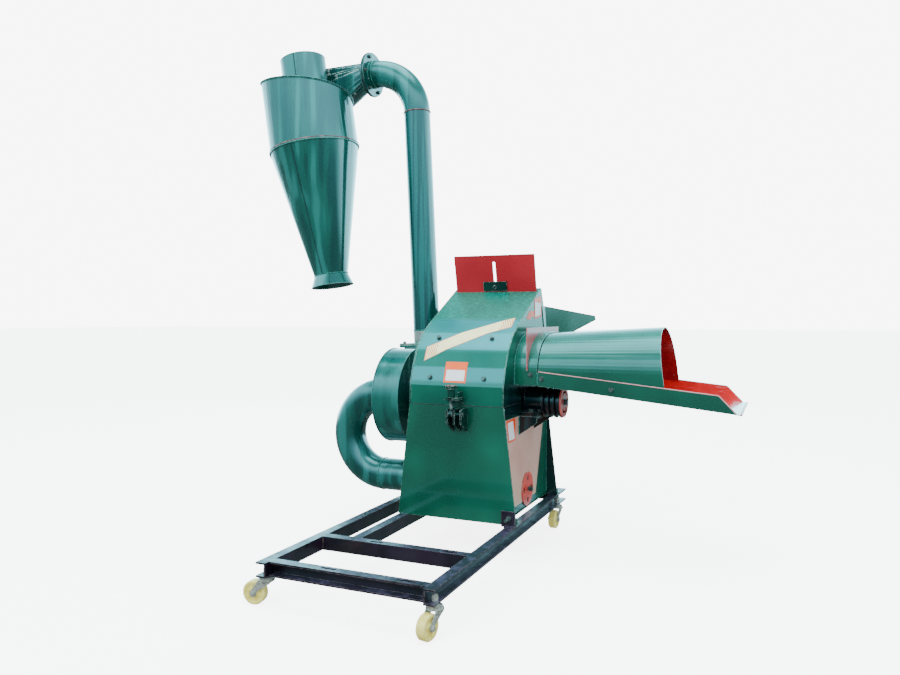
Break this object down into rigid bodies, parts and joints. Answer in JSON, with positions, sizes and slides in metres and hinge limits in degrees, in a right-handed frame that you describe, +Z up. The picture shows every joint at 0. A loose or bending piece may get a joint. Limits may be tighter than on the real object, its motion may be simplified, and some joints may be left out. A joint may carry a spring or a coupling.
{
  "type": "hammer mill",
  "caption": "Hammer mill on a caster frame: swinging hammers over a screen, hinged hood, rear and side feeds, suction fan, riser and cyclone.",
  "frame": {"origin": "middle of the floor area that the whole machine covers, on the floor", "axes": "+X along the rotor shaft towards the side feed, +Y from the motor end to the rear hopper, +Z up"},
  "size_m": [2.1574, 1.7936, 2.1905],
  "materials": {
    "green_paint": "gloss paint on sheet steel",
    "black_paint": "gloss black paint on rolled channel",
    "red_paint": "satin red paint",
    "grey_paint": "silver-grey paint",
    "zinc_plate": "zinc plated",
    "bare_steel": "machined and worn",
    "nylon": "moulded, pale yellow"
  },
  "bodies": {
    "root": {"side_rails": "black_paint", "cross_members": "black_paint", "mill_bearer": "black_paint", "caster_stems": "zinc_plate", "stand_end_plates": "green_paint", "stand_left_plate": "green_paint", "stand_right_plate": "green_paint", "stand_floor": "green_paint", "screen": "bare_steel", "screen_rails": "bare_steel", "mounting_feet": "green_paint", "tension_bracket": "black_paint", "fixed_bolts": "zinc_plate", "stand_lugs": "green_paint", "bearing_brackets": "green_paint", "bearing_housings": "green_paint", "ball_bearings": "bare_steel", "suction_pipe": "green_paint", "fan_casing": "green_paint", "riser_neck": "grey_paint", "riser_pipe": "green_paint", "riser_elbow": "green_paint", "cyclone_inlet": "green_paint", "cyclone_barrel": "green_paint", "cyclone_roof": "green_paint", "cyclone_exhaust": "green_paint", "cyclone_cone": "green_paint", "cyclone_spout": "green_paint"},
    "rotor": {"rotor_shaft": "bare_steel", "rotor_discs": "bare_steel", "hammer_pins": "bare_steel", "pulley": "red_paint", "fan_impeller": "bare_steel"},
    "hammer_row_1": {"hammer_row_1": "bare_steel"},
    "hammer_row_2": {"hammer_row_2": "bare_steel"},
    "hammer_row_3": {"hammer_row_3": "bare_steel"},
    "hammer_row_4": {"hammer_row_4": "bare_steel"},
    "hood": {"hood_wrap": "green_paint", "hood_side_plates": "green_paint", "hood_liner": "bare_steel", "hood_bolts": "zinc_plate", "hood_lugs": "green_paint", "rear_hopper": "green_paint", "feed_throat": "green_paint", "feed_flange_plate": "red_paint", "feed_arch_cover": "green_paint", "feed_trough": "green_paint", "gate_guides": "green_paint"},
    "gate": {"feed_gate": "red_paint"},
    "swing_bolt": {"swing_bolt": "zinc_plate"},
    "knob": {"clamp_knob": "green_paint"},
    "damper": {"air_damper": "red_paint"},
    "front_right_fork": {"front_right_fork": "zinc_plate"},
    "front_right_wheel": {"front_right_wheel": "nylon"},
    "front_left_fork": {"front_left_fork": "zinc_plate"},
    "front_left_wheel": {"front_left_wheel": "nylon"},
    "rear_right_fork": {"rear_right_fork": "zinc_plate"},
    "rear_right_wheel": {"rear_right_wheel": "nylon"},
    "rear_left_fork": {"rear_left_fork": "zinc_plate"},
    "rear_left_wheel": {"rear_left_wheel": "nylon"}
  },
  "joints": [
    {"name": "rotor_spin", "type": "hinge", "parent": "root", "child": "rotor", "pos_m": [0.0367, 0.17185, 0.6], "axis": [1, 0, 0], "continuous": true},
    {"name": "hammer_row_1_swing", "type": "hinge", "parent": "rotor", "child": "hammer_row_1", "pos_m": [0.0367, 0.23195, 0.6601], "axis": [1, 0, 0], "range_deg": [-8, 270]},
    {"name": "hammer_row_2_swing", "type": "hinge", "parent": "rotor", "child": "hammer_row_2", "pos_m": [0.0367, 0.11174, 0.6601], "axis": [1, 0, 0], "range_deg": [-270, 8]},
    {"name": "hammer_row_3_swing", "type": "hinge", "parent": "rotor", "child": "hammer_row_3", "pos_m": [0.0367, 0.11174, 0.5399], "axis": [1, 0, 0], "range_deg": [-185, 95]},
    {"name": "hammer_row_4_swing", "type": "hinge", "parent": "rotor", "child": "hammer_row_4", "pos_m": [0.0367, 0.23195, 0.5399], "axis": [1, 0, 0], "range_deg": [-95, 185]},
    {"name": "hood_hinge", "type": "hinge", "parent": "root", "child": "hood", "pos_m": [0.0367, 0.47185, 0.605], "axis": [-1, 0, 0], "range_deg": [0, 65]},
    {"name": "gate_slide", "type": "slide", "parent": "hood", "child": "gate", "axis": [0, 0.225, -0.9744], "range_m": [0, 0.105]},
    {"name": "swing_bolt_hinge", "type": "hinge", "parent": "root", "child": "swing_bolt", "pos_m": [0.0407, -0.16315, 0.571], "axis": [1, 0, 0], "range_deg": [0, 100]},
    {"name": "knob_spin", "type": "hinge", "parent": "swing_bolt", "child": "knob", "pos_m": [0.0407, -0.16315, 0.655], "axis": [0, 0, 1], "continuous": true},
    {"name": "damper_turn", "type": "hinge", "parent": "root", "child": "damper", "pos_m": [0.2397, 0.17485, 0.231], "axis": [1, 0, 0], "range_deg": [0, 45]},
    {"name": "front_right_swivel", "type": "hinge", "parent": "root", "child": "front_right_fork", "pos_m": [0.2757, -0.81615, 0.084], "axis": [0, 0, 1], "continuous": true},
    {"name": "front_right_roll", "type": "hinge", "parent": "front_right_fork", "child": "front_right_wheel", "pos_m": [0.26876, -0.85554, 0.04], "axis": [0.9848, -0.1736, 0], "continuous": true},
    {"name": "front_left_swivel", "type": "hinge", "parent": "root", "child": "front_left_fork", "pos_m": [-0.3343, -0.81615, 0.084], "axis": [0, 0, 1], "continuous": true},
    {"name": "front_left_roll", "type": "hinge", "parent": "front_left_fork", "child": "front_left_wheel", "pos_m": [-0.37369, -0.8231, 0.04], "axis": [0.1736, -0.9848, 0], "continuous": true},
    {"name": "rear_right_swivel", "type": "hinge", "parent": "root", "child": "rear_right_fork", "pos_m": [0.2757, 0.49185, 0.084], "axis": [0, 0, 1], "continuous": true},
    {"name": "rear_right_roll", "type": "hinge", "parent": "rear_right_fork", "child": "rear_right_wheel", "pos_m": [0.27431, 0.45187, 0.04], "axis": [0.9994, -0.0349, 0], "continuous": true},
    {"name": "rear_left_swivel", "type": "hinge", "parent": "root", "child": "rear_left_fork", "pos_m": [-0.3343, 0.49185, 0.084], "axis": [0, 0, 1], "continuous": true},
    {"name": "rear_left_roll", "type": "hinge", "parent": "rear_left_fork", "child": "rear_left_wheel", "pos_m": [-0.36258, 0.46356, 0.04], "axis": [0.7071, -0.7071, 0], "continuous": true}
  ]
}
